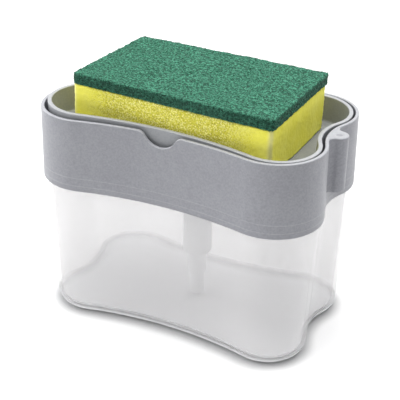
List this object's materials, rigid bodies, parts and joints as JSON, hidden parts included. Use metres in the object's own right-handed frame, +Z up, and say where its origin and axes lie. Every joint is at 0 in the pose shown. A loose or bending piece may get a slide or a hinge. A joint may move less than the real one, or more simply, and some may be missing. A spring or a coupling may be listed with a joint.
{
  "type": "soap pump caddy",
  "caption": "Press-down soap pump: a translucent pinched tank under a grey collar, whose pump carries a loose tray that holds a scrub sponge over the outlet.",
  "frame": {"origin": "middle of the flat base, on the pump's axis", "axes": "+Z up, +X along the length towards the end with the post, the finger notch in front at -Y"},
  "size_m": [0.1478, 0.09, 0.1285],
  "materials": {
    "tank_plastic": "translucent white, satin",
    "collar_plastic": "satin moulded grey",
    "tray_plastic": "satin moulded grey",
    "foam": "open-cell yellow foam",
    "scouring_pad": "green fibre mat",
    "pump_plastic": "white polypropylene",
    "tube_plastic": "clear polyethylene tube",
    "gasket_rubber": "soft white",
    "seal_rubber": "soft white",
    "spring_steel": "bright drawn wire",
    "ball_steel": "polished"
  },
  "bodies": {
    "tank": {"reservoir": "tank_plastic"},
    "lid": {"collar": "collar_plastic", "pump_housing": "pump_plastic", "housing_gasket": "gasket_rubber", "pump_nut": "pump_plastic", "stem_guide": "pump_plastic", "ball_cage": "pump_plastic", "return_spring": "spring_steel", "dip_tube": "tube_plastic"},
    "plunger": {"pump_stem": "pump_plastic", "outlet_nozzle": "pump_plastic", "piston_rod": "pump_plastic"},
    "piston": {"pump_piston": "seal_rubber"},
    "ball": {"inlet_ball": "ball_steel"},
    "tray": {"sponge_tray": "tray_plastic"},
    "sponge": {"sponge_foam": "foam", "scouring_pad": "scouring_pad"}
  },
  "joints": [
    {"name": "lid_lift", "type": "slide", "parent": "tank", "child": "lid", "axis": [0, 0, 1], "range_m": [0, 0.11]},
    {"name": "pump_press", "type": "slide", "parent": "lid", "child": "plunger", "axis": [0, 0, 1], "range_m": [-0.011, 0], "stiffness_N_per_m": 700, "springref_m": 0.012, "deforming": ["return_spring"]},
    {"name": "piston_play", "type": "slide", "parent": "plunger", "child": "piston", "axis": [0, 0, 1], "range_m": [0, 0.0015]},
    {"name": "ball_lift", "type": "slide", "parent": "lid", "child": "ball", "axis": [0, 0, 1], "range_m": [0, 0.0012]},
    {"name": "tray_lift", "type": "slide", "parent": "plunger", "child": "tray", "axis": [0, 0, 1], "range_m": [0, 0.06]},
    {"name": "sponge_lift", "type": "slide", "parent": "tray", "child": "sponge", "axis": [0, 0, 1], "range_m": [0, 0.05]}
  ]
}
